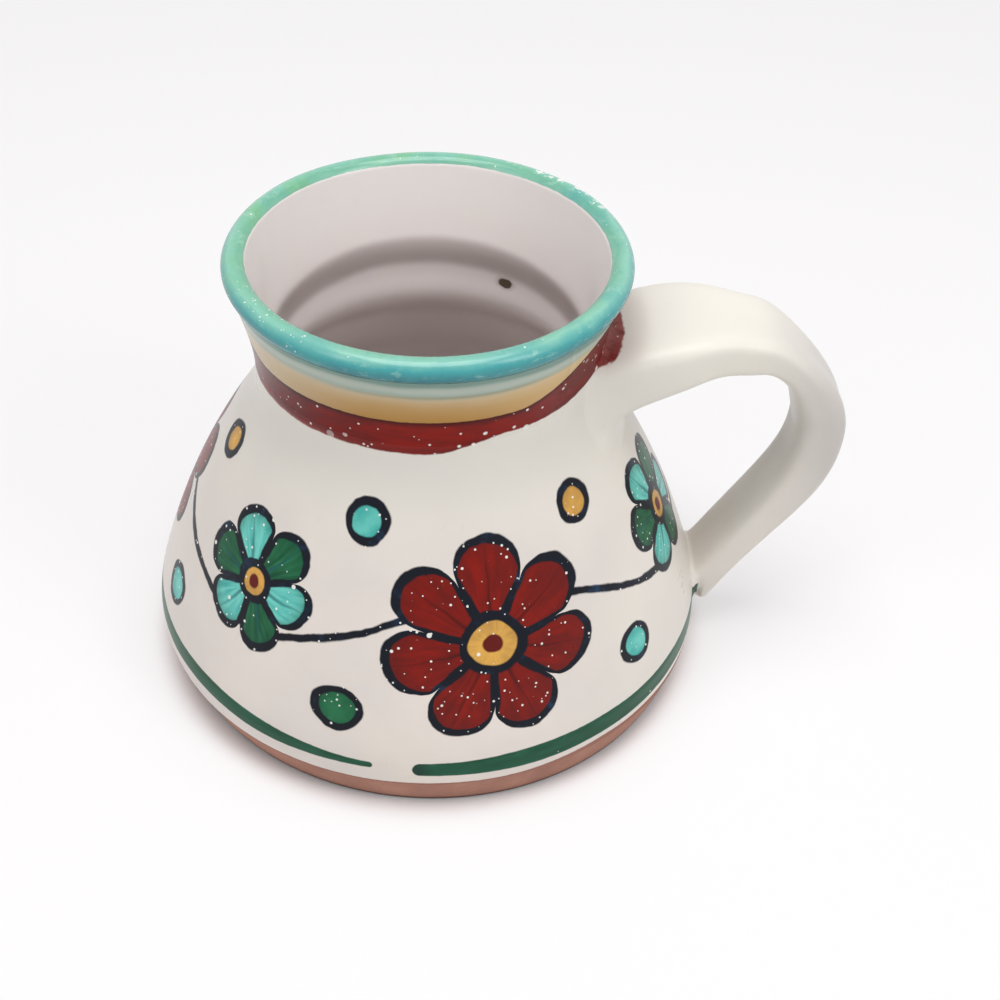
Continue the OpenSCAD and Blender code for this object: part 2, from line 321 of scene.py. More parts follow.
paints = {
    "white": srgb(228, 219, 211), "whiteGrey": srgb(215, 207, 202), "whiteWarm": srgb(230, 221, 205),
    "whiteCool": srgb(229, 226, 217), "whiteShade": srgb(196, 190, 186),
    "fleck": srgb(238, 238, 232), "iron": srgb(92, 78, 66),
    "navy": srgb(7, 13, 26), "navyBlue": srgb(26, 58, 88),
    "turquoise": srgb(44, 158, 152), "turquoisePale": srgb(116, 206, 194), "teal": srgb(14, 84, 92),
    "green": srgb(8, 72, 46), "greenPale": srgb(40, 116, 76), "greenLine": srgb(28, 88, 66),
    "red": srgb(120, 9, 4), "redBright": srgb(140, 20, 4), "redDark": srgb(60, 5, 4),
    "redBrown": srgb(94, 16, 12), "redPale": srgb(188, 108, 100),
    "ochre": srgb(188, 152, 98), "ochreDeep": srgb(178, 134, 72), "ochrePale": srgb(204, 188, 158),
    "ochreLight": srgb(222, 192, 140), "petalOchre": srgb(224, 172, 82),
    "wash": srgb(160, 178, 167), "washDark": srgb(124, 152, 142), "washPale": srgb(196, 200, 188),
    "washLine": srgb(96, 116, 90),
    "rimPale": srgb(134, 194, 174), "rimGreen": srgb(110, 174, 148), "rimBlue": srgb(66, 158, 160),
    "rimTeal": srgb(44, 128, 138), "rimDeep": srgb(36, 98, 102), "rimPatch": srgb(118, 182, 124),
    "rimWhite": srgb(186, 220, 208),
    "liner": srgb(231, 222, 220), "linerPale": srgb(241, 234, 231), "linerDark": srgb(178, 165, 163),
    "clay": srgb(154, 110, 95), "clayPale": srgb(174, 128, 110), "clayDark": srgb(112, 70, 57),
    "clayShadow": srgb(58, 30, 25),
}


# The glaze itself: warm white with soft grey clouds and a few iron specks, and painted light toward the
# handle
def whiteGround(g):
    white = g.tone(g.noise(26, 3).rise(-.7, .8), "whiteGrey", "white")
    white = white.under(paints["whiteCool"], (g.z + g.noise(30, 2, 5.7) * 9).rise(46, 70) * .75)
    # Painted light: the white is made lighter toward the handle's side, where the strap shades the wall
    white = white.under(paints["whiteCool"], (g.x + g.noise(24, 2, 9.6) * 8).rise(22, 50) * .4)
    white = white.under(paints["whiteWarm"], g.noise(6, 3, 3.1).rise(.1, .9) * .35)
    white = white.under(paints["whiteWarm"], g.noise(34, 2, 8.4).rise(0, .9) * .4)
    return white.under(paints["iron"], g.specks(8, .34, .1, 1.7) * .8)


handleTurn = 90
bands = {
    "ragged": .5, "fray": .22, "brightTurn": 8,
    "lift": 13, "liftNear": 10, "liftFar": 64,        # how far the red's top climbs near the handle
    "liftLeft": 6.5, "leftTurn": -100,                # and at the left
    "leftNear": 12, "leftFar": 42,
    "under": 2.15, "underFar": 55,                    # how far its lower edge climbs near the handle
    "onStrap": .25, "strapFrom": 38,                  # and on along the strap
    "edge": .95, "sag": 3.1, "sagTurn": 26,           # the lower edge sags from the front round the left
    "fringe": 1.5,
}


# Fades out behind the mug what runs round its left, so that it meets itself there
def notBehind(g):
    return g.turn.rise(-170, -100)


# The painted bands under the lip: red, ochre and the thin wash
def bandsOver(g, colour):
    wander = g.noise(14, 2, 5.3) * bands["ragged"]
    fray = g.noise(1.6, 3, 2.2) * bands["fray"]
    fromHandle = abs(g.turn - handleTurn)
    fromFront = abs(g.turn - bands["brightTurn"])
    fromLeft = abs(g.turn - bands["leftTurn"])
    lift = fromHandle.fall(bands["liftNear"], bands["liftFar"]) * bands["lift"]
    lift = lift + fromLeft.fall(bands["leftNear"], bands["leftFar"]) * bands["liftLeft"]
    streaks = g.noise(9, 3, .4, (1, 1, 5))
    topEdge = g.z - (ochreZ + lift) + fray * .7 + wander * .3
    under = fromHandle.fall(0, bands["underFar"]) * bands["under"]
    under = under + (g.r - bands["strapFrom"]).most(0) * bands["onStrap"]
    sag = g.turn.fall(0, bands["sagTurn"]) * notBehind(g) * bands["sag"]
    bottomEdge = g.z - redZ - bands["edge"] - under + sag + wander + fray

    red = g.tone(streaks.rise(-.5, .7), "redBrown", "red")
    red = red.under(paints["redBright"], fromFront.fall(10, 52) * streaks.rise(-.8, .3) * .8)
    red = red.under(paints["redDark"], topEdge.rise(-1.7, -.2) * .85)
    red = red.under(paints["redDark"], bottomEdge.fall(.2, 1.7) * g.noise(11, 2, 8.8).rise(-.2, .5) * .5)
    red = red.under(paints["redPale"], bottomEdge.fall(0, bands["fringe"]) * g.x.fall(-28, -8) * .45)

    softly = g.noise(18, 2, 6.1, (1, 1, 2.5))
    ochre = g.tone((g.z + softly).rise(ochreZ, ochreZ + 4.5), "ochreDeep", "ochre")
    ochre = ochre.under(paints["ochrePale"], (g.z + softly).rise(ochreZ + 3, washZ + .5) * .75)
    ochre = ochre.under(paints["ochrePale"], g.x.fall(-33, -10) * .7)
    ochre = ochre.under(paints["ochreLight"], g.x.rise(4, 30) * .6)

    # The wash darkens toward the lip: painted shade under the bead's overhang
    wash = g.tone((g.z + softly * 1.5).rise(washZ + .5, washZ + 4), "wash", "washDark")
    wash = wash.under(paints["washPale"], abs(g.z - washZ - 1.9 + softly).fall(.3, 1.5) * .6)
    lineAt = abs(g.z - washZ + .1 + wander * .5)
    wash = wash.under(paints["washLine"], lineAt.fall(.05, .8) * fromFront.fall(14, 44) * .55)

    colour = colour.under(red, bottomEdge.rise(-.15, .3))
    colour = colour.under(ochre, topEdge.rise(-.12, .14))
    washed = (g.z + softly * .5 + fray * .5 - lift * .1).rise(washZ - 1.3, washZ + 1.1)
    colour = colour.under(wash, washed * topEdge.rise(-.1, .2))
    colour = colour.under(paints["rimDeep"], (g.z + wander * .35 + fray * .5).rise(lipZ - .55, lipZ - .25))
    dots = g.specks(2, .36, .6, .9).most(g.specks(5, .7, .5, 4.4))
    large = g.specks(3.4, 1.05, .9, 6.3) * bottomEdge.fall(2.3, 2.5) * fromFront.fall(10, 60)
    dots = dots.most(g.specks(2.7, .8, .7, 2.9) * fromHandle.fall(26, 44))
    inRed = bottomEdge.rise(-.3, .5) * topEdge.fall(-.2, .1)
    return colour.under(paints["fleck"], (dots * inRed).most(large * bottomEdge.rise(-1.2, -.9)) * .92)


rim = {"inner": 152, "wobble": 5, "crawlFrom": 106, "crawlTo": 160, "dip": .17}


# The lip's paint changes round the bead, from deep teal below through turquoise to pale green inside; the
# deeper teal on the bead's underside is partly the glaze's own colour and partly painted shade
def rimOver(g, colour):
    around = (g.z - beadZ + rim["dip"]).angle(g.r - beadX + rim["dip"])
    around = around + around.fall(-120, -119) * 360
    mixed = around + g.noise(8, 3, 1.2) * 24 + g.noise(1.3, 2, 7.2) * 8
    stops = ((.0, paints["rimDeep"]), (.16, paints["rimTeal"]), (.37, paints["rimBlue"]),
             (.6, paints["rimPale"]), (.82, paints["rimGreen"]), (1, paints["rimPale"]))
    paint = g.spot.make("ValToRGB", {"stops": stops}, {0: (mixed + 60) / 220})
    upright = g.noise(5, 3, 6.4, (1, 1, .4)).rise(0, .8)
    paint = paint.under(paints["rimBlue"], upright * around.rise(10, 60) * .5)
    leftBack = (g.y - g.x).rise(0, 40)
    paint = paint.under(paints["rimPatch"], g.noise(12, 2, 3.9).rise(-.25, .4) * leftBack * .6)
    paint = paint.under(paints["rimBlue"], g.noise(16, 2, 5.8).rise(-.1, .5) * (1 - leftBack) * .45)
    paint = paint.under(paints["rimWhite"], g.noise(4, 4, 8.9, (1, 1, 3), .65).rise(.1, .6) * .4)
    edge = around + g.noise(13, 2, 4.2) * rim["wobble"] + g.noise(2, 3, 9.2) * 3
    thick = edge.rise(rim["inner"] - 2, rim["inner"] + 2) * edge.fall(rim["inner"] + 12, rim["inner"] + 24)
    colour = colour.under(paints["linerPale"], thick)
    colour = colour.under(paint, edge.fall(rim["inner"] - 2, rim["inner"] + 2))
    crawl = g.noise(1.5, 2, 2.9).rise(.1, .18) * g.turn.rise(rim["crawlFrom"], rim["crawlFrom"] + 14)
    crawl = crawl * g.turn.fall(rim["crawlTo"] - 14, rim["crawlTo"])
    crawl = crawl * (around + g.noise(6, 2, 1.6) * 30).fall(80, 120)
    fine = g.specks(1.7, .28, .35, 8.1).most(g.specks(4.5, .6, .2, 1.9))
    leftFront = g.turn.rise(-72, -62) * g.turn.fall(-42, -30) * around.rise(30, 60)
    fine = fine.most(g.specks(1, .27, .8, 3.7) * leftFront)
    return colour.under(paints["fleck"], (crawl * .85).most(fine * .75 * edge.fall(140, 150)))


# The painted frieze: rosettes along a wavy stem, with a few ringed dabs, three times round the mug
frieze = {
    "repeats": 3, "lean": 1.14, "line": 2.0, "wobble": 1.5,
    "vine": {"z": 41, "wave": 8, "phase": 14},
    "big": {"turn": 14, "z": 39, "radius": 22, "heart": 6.2, "petals": 7, "tilt": .3,
            "dark": "redBrown", "pale": "redBright", "vein": "redDark"},
    "small": {"turn": -44, "z": 43, "radius": 14.5, "heart": 3.9, "petals": 6, "tilt": .1,
              "dark": "green", "pale": "turquoisePale", "vein": "teal"},
    "dabs": ((-71, 26, 4.2, "turquoise", "turquoisePale"), (-17, 61, 3.9, "turquoise", "turquoisePale"),
             (-19, 25, 4.6, "green", "greenPale"), (44, 59, 3.6, "ochreDeep", "petalOchre")),
}


# Where a point lies in mm from a motif that comes round the mug several times
def fromMotif(g, turn, z, repeats, warp):
    t = (g.turn - turn) * (repeats / 360)
    across = (t - t.math("ROUND")) * g.r * (math.tau / repeats)
    return across + warp[0], (g.z - z) * frieze["lean"] + warp[1]


# Paints one rosette and gives how far outside it a point lies
def rosetteOver(g, colour, ink, of, warp, pool, brush):
    p, q = fromMotif(g, of["turn"], of["z"], frieze["repeats"], warp)
    rho = p.length(q)
    petal = q.angle(p) * (of["petals"] / 360) + of["tilt"]
    nearest = petal.math("ROUND")
    side = petal - nearest
    fold = abs(side) * 2
    edge = of["radius"] * (.6 + .4 * (1 - fold * fold).most(0).math("SQRT"))
    out = rho - edge
    gap = rho * ((1 - fold) * (math.pi / of["petals"])).math("SINE")
    vein = rho * (fold * (math.pi / of["petals"])).math("SINE")
    strokes = g.grain(g.spot.make("CombineXYZ", None, {0: side * 10, 1: rho * .11, 2: nearest * 3.3}), 1, 3)
    fill = g.tone((strokes * .8 + pool * .6).rise(-.8, .9), of["dark"], of["pale"])
    if of is frieze["small"]:
        odd = abs(nearest.math("MODULO", 2))
        fill = fill.under(g.tone((strokes + pool * .4).rise(-.5, .9), "green", "greenPale"), odd)
        fill = fill.under(g.tone((strokes + pool * .4).rise(-.9, .5), "turquoise", "turquoisePale"), 1 - odd)
    fill = fill.under(paints[of["vein"]], (vein - .55 + rho / (of["radius"] * 1.6)).fall(-.3, .4) * .7)
    fill = fill.under(paints[of["dark"]], out.rise(of["radius"] * -.3, 0) * .45)
    heart = rho - of["heart"]
    core = g.tone((strokes * .5 + pool).rise(-.8, .7), "ochreDeep", "petalOchre")
    core = core.under(paints["redBrown"], (rho - of["heart"] * .36 + pool * .3).fall(-.2, .3))
    line = abs(out).least(gap.most(out).most(-heart)).least(abs(heart))
    colour = colour.under(fill, out.fall(-.2, .2)).under(core, heart.fall(-.2, .2))
    return colour.under(ink, (line - brush).fall(-.22, .22)), out - brush


def friezeOver(g, colour):
    warp = (g.noise(15, 3, 11.3) * frieze["wobble"], g.noise(15, 3, 17.9) * frieze["wobble"])
    brush = frieze["line"] * (.5 + .2 * g.noise(8, 2, 21.4)) + g.noise(1.3, 2, 29.7) * .13
    pool = g.noise(4.5, 3, 23.8)
    ink = g.tone((pool + g.noise(1.2, 2, 27.1) * .4).rise(.1, 1), "navy", "navyBlue")

    vine = frieze["vine"]
    wave = ((g.turn - vine["phase"]) * (math.tau / 360 * frieze["repeats"])).math("COSINE") * vine["wave"]
    _, q = fromMotif(g, 0, vine["z"], 1, warp)
    stem = abs(q - wave) * .86 - brush * .8
    colour = colour.under(ink, stem.fall(-.22, .22))
    painted = stem
    for turn, z, size, dark, pale in frieze["dabs"]:
        p, q = fromMotif(g, turn, z, frieze["repeats"], warp)
        far = p.length(q) - size
        fill = g.tone((pool + far * .2).rise(-1.1, .6), pale, dark)
        colour = colour.under(fill, far.fall(-.2, .2)).under(ink, (abs(far) - brush * .85).fall(-.22, .22))
        painted = painted.least(far - brush)
    for of in (frieze["small"], frieze["big"]):
        colour, out = rosetteOver(g, colour, ink, of, warp, pool, brush)
        painted = painted.least(out)
    flecks = g.specks(1.25, .33, .5, 6.6).most(g.specks(3.4, .6, .3, 7.1))
    return colour.under(paints["fleck"], flecks * painted.fall(-.1, .25) * .9)


footLine = {
    "middle": 13.05, "radius": 62, "parting": -8,     # the parting is in the gap between the line's two ends
    "rightEnd": -1.7, "half": 2.3, "start": 1.7, "swellTo": 22,
    "leftEnd": -11.6, "leftHalf": 1.95, "tip": .75, "taper": 30, "tipRise": .35,
    "climb": 2.4, "climbRight": .3, "bare": 8.75, "bareRight": .9,
}


# The green line stops short of meeting itself at the front: a round dark start and a thin end
def footLineOver(g, colour, bare):
    line = footLine
    climb = g.turn.fall(-60, -6) * notBehind(g) * line["climb"]
    climb = climb + g.turn.rise(10, 40) * g.turn.fall(60, 80) * line["climbRight"]
    z = g.z - line["middle"] - climb + g.noise(20, 2, 13.3) * .25
    fray = g.noise(1.8, 2, 3.6) * .09
    degree = math.tau / 360 * line["radius"]
    onRight = g.turn.rise(line["parting"] - .2, line["parting"])
    onLeft = g.turn.fall(line["parting"] - 1, line["parting"] - .8)

    before = (line["rightEnd"] - g.turn).most(0) * onRight * degree
    swell = g.turn.rise(line["rightEnd"], line["swellTo"])
    right = before.length(z) - line["start"] - (line["half"] - line["start"]) * swell + fray
    past = (g.turn - line["leftEnd"]).most(0) * degree
    thin = g.turn.fall(line["leftEnd"] - line["taper"], line["leftEnd"] + 3)
    left = past.length(z - (1 - thin) * line["tipRise"])
    left = left - line["tip"] - (line["leftHalf"] - line["tip"]) * thin + fray
    mask = (right.fall(-.14, .14) * onRight).most(left.fall(-.14, .14) * onLeft)

    tone = g.tone(g.noise(8, 3, 4.9, (1, 1, 4)).rise(-.6, .7), "green", "greenLine")
    start = g.turn.fall(line["rightEnd"] - .5, line["rightEnd"] + 3) * onRight
    tone = tone.under(paints["navy"], start * .55)
    tone = tone.under(paints["greenPale"], z.rise(.3, 1.3) * g.noise(5, 3, 2.4).rise(0, .8) * .5)
    colour = colour.under(tone, mask)
    colour = colour.under(paints["fleck"], g.specks(2.6, .3, .3, 5.8) * mask * .8)
    return colour.under(paints["clay"], bare)


# 1 where the glaze was wiped off above the foot, on a ragged edge that is higher toward the right
def wipedOff(g):
    edge = g.z + g.noise(9, 3, 8.3) * .22 + g.noise(1.1, 2, 1.1) * .08
    edge = edge - g.turn.rise(14, 36) * g.turn.fall(60, 90) * footLine["bareRight"]
    return edge.fall(footLine["bare"] - .1, footLine["bare"] + .12)


# A fired glaze over the paint: slow waves, fine orange peel and a few pinholes
def glazeFinish(g, colour, gloss, relief=.05, specular=.2):
    rough = g.noise(12, 3, 31.1) * .05 + gloss + g.noise(1.2, 2, 33.3) * .02
    surface = g.noise(5, 3, 35.5) * relief + g.noise(22, 2, 37.7) * relief * 2
    surface = surface - g.specks(4.2, .22, .2, 2.6) * .06
    return g.set(colour, rough, g.bump(surface, .5), specular)


def neckGlaze():
    g = Glaze("neckGlaze")
    gloss = .24 + abs(g.turn - handleTurn).fall(26, 52) * .3          # duller where the strap was pressed on
    return glazeFinish(g, bandsOver(g, whiteGround(g)), gloss, .05, .13)


def bellyGlaze():
    g = Glaze("bellyGlaze")
    bare = wipedOff(g)
    painted = footLineOver(g, friezeOver(g, whiteGround(g)), bare)
    return glazeFinish(g, bandsOver(g, painted), .3 + bare * .5)


onRoot = {"from": 35.5, "top": 86, "flat": .78, "reach": 5.8, "dry": .85}         # where the red ends on it
onTail = {"reach": 62.6, "low": 10.9, "high": 14.9}                               # and the green


# The strap: the red band runs up onto its root and the green line onto its tail
def strapGlaze():
    g = Glaze("strapGlaze")
    fray = g.noise(1.6, 3, 2.2) * .3 + g.noise(5, 2, 6.2) * .45
    # Painted shade on the strap's outer bend, weaker down toward the tail
    shade = (g.x + g.noise(14, 2, 2.8) * 5).rise(66, 92) * (.3 + g.z.rise(28, 50) * .6)
    colour = whiteGround(g).under(paints["whiteShade"], shade)
    root = bandsOver(g, colour)
    dry = g.z.rise(78, 85) * g.noise(2.2, 3, 8.1).rise(-.7, .3) * onRoot["dry"]
    root = root.under(paints["redPale"], dry)
    out = (g.r + fray - onRoot["from"]).most(0).length((onRoot["top"] - g.z).most(0) * onRoot["flat"])
    colour = colour.under(root, out.fall(onRoot["reach"], onRoot["reach"] + .4))
    tail = (g.r + fray * .5).fall(onTail["reach"], onTail["reach"] + .4)
    tail = tail * g.z.rise(onTail["low"], onTail["low"] + .4)
    tail = tail * (g.z + fray * .3).fall(onTail["high"], onTail["high"] + .4)
    return glazeFinish(g, colour.under(paints["green"], tail), .3)


# Painted shade: the liner is darkened on the roof of the first finger ring, where the wall turns away from
# the light
paintedRingShade = {"above": 1.1, "bow": .0024, "dark": .75}                # the shaded roof of the first finger ring
pit = {"turn": 148.2, "z": 73.8, "wide": 1.9, "high": 1.25}       # a pinhole in the glaze far down inside


def linerGlaze(name, overLip):
    g = Glaze(name)
    clouds = g.noise(20, 3, 41.1)
    # Painted light and shade inside the cup: the liner is paler toward the lip and darker far down
    colour = g.tone((g.z + clouds * 5).rise(72, 94), "liner", "linerPale")
    colour = colour.under(paints["linerDark"], (g.z + clouds * 3).fall(30, 66) * .3)
    deep = thrown["ringTop"] + paintedRingShade["above"] - g.z - g.x * g.x * paintedRingShade["bow"] + clouds * .6
    roofShade = (deep * (math.tau / thrown["ringPitch"])).math("SINE").rise(-.35, .75)
    roofShade = roofShade * deep.rise(-1.5, .5) * deep.fall(9, 12)
    colour = colour.under(paints["linerDark"], roofShade * paintedRingShade["dark"])
    colour = colour.under(paints["whiteWarm"], g.noise(9, 3, 44.2).rise(.1, .8) * .25)
    colour = colour.under(paints["iron"], g.specks(7, .3, .15, 8.2) * .7)
    across = (g.turn - pit["turn"]) * g.r * (math.tau / 360 / pit["wide"])
    hole = across.length((g.z - pit["z"]) / pit["high"]) + g.noise(1.1, 2, 3.3) * .2
    colour = colour.under(paints["linerDark"], hole.fall(.8, 1.7) * .5)
    colour = colour.under(paints["iron"], hole.fall(.75, 1.05))
    if overLip:
        return glazeFinish(g, rimOver(g, colour), .2, .04, .45)
    return glazeFinish(g, colour, .2, .04)


def bareClay():
    g = Glaze("bareClay")
    grog = g.noise(1.1, 4, 43.1)
    colour = g.tone(g.noise(9, 3, 45.2).rise(-.7, .7), "clay", "clayPale")
    colour = colour.under(paints["clayDark"], grog.rise(.25, .8) * .5)
    # Painted contact shadow: the clay darkens to near black toward its bottom edge
    colour = colour.under(paints["clayDark"], g.z.fall(.3, 2.2) * .45)
    colour = colour.under(paints["clayShadow"], g.z.fall(.4, 1.5) * .9)
    colour = colour.under(paints["whiteGrey"], (g.z + g.noise(3, 3, 5.1) * .5).rise(7.7, 8.6) * .4)
    height = grog * .08 + g.noise(.35, 2, 47.3) * .03 + (g.z * 6).math("SINE") * .015
    return g.set(colour, g.noise(4, 2, 49.4) * .06 + .82, g.bump(height, .8), .3)


neckPaint, bellyPaint, strapPaint, clayPaint = neckGlaze(), bellyGlaze(), strapGlaze(), bareClay()
linerPaint, rimPaint = linerGlaze("linerGlaze", False), linerGlaze("rimGlaze", True)
print("glazes mixed")


foot = {"recess": 1.8, "ringWidth": 7, "bevel": .35, "cutDepth": .05, "cutPitch": 1.9}


# The clay itself: the turned foot, the wall under its glaze, the bead and the inside
def clayOutline():
    r, bevel, recess, row = thrown["footDia"] / 2, foot["bevel"], foot["recess"], thrown["bodyRow"]
    inner = r - foot["ringWidth"]
    cuts = steps(2, inner - 1.2, .8)
    under = [(0, recess)] + [(x, recess + foot["cutDepth"] * math.sin(x * foot["cutPitch"])) for x in cuts]
    under += [(inner - .5, recess - .15), (inner, recess - .7), (inner + .15, .35), (inner + .5, 0)]
    under += [(x, 0) for x in steps(inner + 1.5, r - 1.6, row)]
    under += [(r - bevel, 0), (r - .05, .1), (r + bevel * .4, bevel)]
    outer = [(wallRadius(z) - thrown["glaze"], z) for z in steps(bevel + .7, lipZ, row)]
    bead = [onBead(a, thrown["glaze"]) for a in steps(thrown["beadOut"] + 10, thrown["beadIn"], 12)]
    wall = [(innerRadius(z) + thrown["glaze"], z) for z in steps(thrown["clayTop"], cornerTop, row)]
    return under + outer + bead + wall + cornerOutline(thrown["glaze"])[1:]


# The round corner and the floor of the cup, down to the axis
def cornerOutline(inset):
    centre = innerRadius(cornerTop) - thrown["corner"]
    r = thrown["corner"] + inset
    angles = [math.radians(a) for a in steps(0, 90, 6)]
    arc = [(centre + r * math.cos(a), cornerTop - r * math.sin(a)) for a in angles]
    floor = [(x, thrown["floor"] - inset) for x in steps(centre - 2.5, 0, 2.5)]
    return arc + floor


def linerOutline():
    thick = thrown["glaze"]
    heights = steps(thrown["linerTop"], cornerTop, thrown["row"])
    face = [onBead(thrown["beadIn"])] + [(innerRadius(z), z) for z in heights] + cornerOutline(0)[1:]
    back = [onBead(thrown["beadIn"], thick)] + [(innerRadius(z) + thick, z) for z in heights]
    back += cornerOutline(thick)[1:]
    return face + back[::-1]


def rimOutline():
    angles = steps(thrown["beadOut"], thrown["beadIn"], 8)
    return [onBead(a) for a in angles] + [onBead(a, thrown["glaze"]) for a in reversed(angles)]


finishPiece("clayBody", turnedShape(clayOutline()), clayPaint, ["clay_body"])
finishPiece("insideGlaze", turnedShape(linerOutline()), linerPaint, ["inside_glaze"], 60)
finishPiece("rimGlaze", turnedShape(rimOutline()), rimPaint, ["rim_glaze"], 60)
for name, low, high, paint, slot, node in (
        ("neckWash", washZ, lipZ, neckPaint, "pale_wash", "neck_wash"),
        ("ochreBand", ochreZ, washZ, neckPaint, "ochre_glaze", "ochre_band"),
        ("redBand", redZ, ochreZ, neckPaint, "red_glaze", "red_band"),
        ("whiteGlaze", lineTop, redZ, bellyPaint, "white_glaze", "white_glaze"),
        ("footLine", lineZ, lineTop, bellyPaint, "green_glaze", "foot_line"),
        ("footGlaze", bareZ, lineZ, bellyPaint, "white_glaze", "foot_glaze")):
    finishPiece(name, glazeBand(low, high), paint, [node], 60)
print("thrown body")

# The pulled strap handle, with the clay pressed round its two roots
strap = {
    "rootDepth": 10.4, "rootZ": 66.5, "rise": 31, "root": (29.5, 15.4), "crownOut": 32.6, "crownZ": 79,
    "crown": (24, 7.4), "bendOut": 23.4, "bendZ": 57.4, "bend": (16.5, 11.4), "tailZ": 12.3, "tailLean": 30,
    "tail": (16, 7.8), "pulls": ((.75, .24), (.26, .25), (.3, .56)), "groove": .6,
    "square": 4.4, "bendSquare": 2.9, "bendAt": 1.8, "bendOver": .55,     # how square it is in section
    "sides": 48, "stretchRings": 16, "easeRings": 5, "clear": (.12, .06), "sink": .12, "buried": 1.6,
    "ridgeAt": .3, "ridgeOver": .16, "trimReach": .24,
    # small trims of the strap: where, and how much further out, wider and thicker it is there
    "trims": ((.45, -.2, 1.8, .1), (.7, .45, -.9, .9), (.95, .1, -1.3, 1.9), (1.2, -.3, -2.1, -.1),
              (1.45, .2, -1.7, -1.2), (1.75, 0, -1.2, .35), (2.1, 0, -.3, 0)),
}
upperRoot = {"from": .95, "look": -.02, "reach": 9, "spread": (3.2, 4.4, 12), "ridge": 0, "rings": 8}
lowerRoot = {"from": 2.2, "look": .02, "reach": 4.5, "spread": (1.4, 2.2, 1.6), "ridge": .35, "rings": 7}


neckR, bellyR = thrown["neckDia"] / 2, thrown["bellyDia"] / 2
strapStations = [       # x, z, heading in degrees, width and thickness
    (neckR - strap["rootDepth"], strap["rootZ"], strap["rise"], *strap["root"]),
    (neckR + strap["crownOut"], strap["crownZ"], 0, *strap["crown"]),
    (bellyR + strap["bendOut"], strap["bendZ"], -90, *strap["bend"]),
    (bellyR + thrown["glaze"], strap["tailZ"], -90 - strap["tailLean"], *strap["tail"]),
]


def ahead(degrees, by):
    a = math.radians(degrees)
    return by * Vector((math.cos(a), math.sin(a)))


# The strap's centre, heading and half sizes at s from 0 at the root to 3 at the tail, and on round its end
def strapFrame(s):
    if s >= 3:
        q = math.radians(min(90, (s - 3) * 90))
        x, z, heading, w, t = strapStations[3]
        end = Vector((x, z)) + ahead(heading, t / 2 * math.sin(q))
        return end.x, end.y, math.radians(heading), w / 2 * math.cos(q), t / 2 * math.cos(q)
    k = int(s)
    t = s - k
    (x0, z0, a0, w0, t0), (x3, z3, a3, w3, t3) = strapStations[k:k + 2]
    chord = math.hypot(x3 - x0, z3 - z0)
    first, last = (v * chord for v in strap["pulls"][k])
    start, end = Vector((x0, z0)), Vector((x3, z3))
    p = [start, start + ahead(a0, first), end - ahead(a3, last), end]
    c = (1 - t)**3 * p[0] + 3 * (1 - t)**2 * t * p[1] + 3 * (1 - t) * t * t * p[2] + t**3 * p[3]
    d = (1 - t)**2 * (p[1] - p[0]) + 2 * (1 - t) * t * (p[2] - p[1]) + t * t * (p[3] - p[2])
    e = t * t * (3 - 2 * t)
    heading = math.atan2(d.y, d.x)
    near = [(math.exp(-((s - trim[0]) / strap["trimReach"]) ** 2), trim) for trim in strap["trims"]]
    out, wide, thick = (sum(trim[k] * share for share, trim in near) for k in (1, 2, 3))
    return (c.x - out * math.sin(heading), c.y + out * math.cos(heading), heading,
            (w0 + (w3 - w0) * e + wide) / 2, (t0 + (t3 - t0) * e + thick) / 2)


# A point of the strap's skin: rail k of the sides, at s along the strap
def onStrap(k, s):
    x, z, heading, w, t = strapFrame(s)
    a = math.tau * k / strap["sides"]
    c, v = math.cos(a), math.sin(a)
    rounder = math.exp(-((s - strap["bendAt"]) / strap["bendOver"]) ** 2)
    power = 2 / (strap["square"] + (strap["bendSquare"] - strap["square"]) * rounder)
    across = math.copysign(abs(c) ** power, c)
    out = math.copysign(abs(v) ** power, v) * t
    if v > 0:
        out -= min(strap["groove"], t * .2) * (1 - across * across) ** 3
    return Vector((x - out * math.sin(heading), w * across, z + out * math.cos(heading)))


def outsideWall(p):
    return math.hypot(p.x, p.y) - wallRadius(max(0, min(lipZ, p.z)))


def ontoWall(p, sink):
    r = wallRadius(p.z) - sink
    c = Vector((p.x, p.y)).normalized() * r
    return Vector((c.x, c.y, p.z))


# Where rail k leaves the wall, looked for in steps and then by halving
def crossing(k, start, step):
    s = start
    while outsideWall(onStrap(k, s)) > 0:
        s += step
    low, high = s, s - step
    for _ in range(30):
        middle = (low + high) / 2
        if outsideWall(onStrap(k, middle)) > 0:
            high = middle
        else:
            low = middle
    return high


# The pressed clay: each rail leaves the wall on a curve that lies on the wall at its foot
def rootRings(root):
    sides, rings, step = strap["sides"], root["rings"], root["look"]
    feet = [crossing(k, root["from"], step) for k in range(sides)]
    touch = [onStrap(k, feet[k]) for k in range(sides)]
    middle = sum(touch, Vector()) / sides
    rows = [[] for _ in range(rings + 2)]
    for k in range(sides):
        corner = touch[k]
        s = feet[k]
        while (onStrap(k, s) - corner).length < root["reach"]:
            s -= step / 8
        free = onStrap(k, s)
        away = corner - middle
        normal = Vector((corner.x, corner.y, 0)).normalized()
        away = (away - normal * away.dot(normal)).normalized()
        v = math.sin(math.tau * k / sides)
        top, side, under = root["spread"]
        far = side + (top - side) * v ** 2 if v > 0 else side + (under - side) * v ** 2
        foot = ontoWall(corner + away * far, strap["sink"])
        rows[0].append(ontoWall(corner + away * far * .8, strap["buried"]))
        for j in range(rings + 1):
            t = j / rings
            ridge = root["ridge"] * math.exp(-((t - strap["ridgeAt"]) / strap["ridgeOver"]) ** 2)
            raised = ridge * (normal + away).normalized()
            rows[j + 1].append((1 - t) ** 2 * foot + 2 * t * (1 - t) * corner + t * t * free + raised)
        feet[k] = s
    return rows, feet


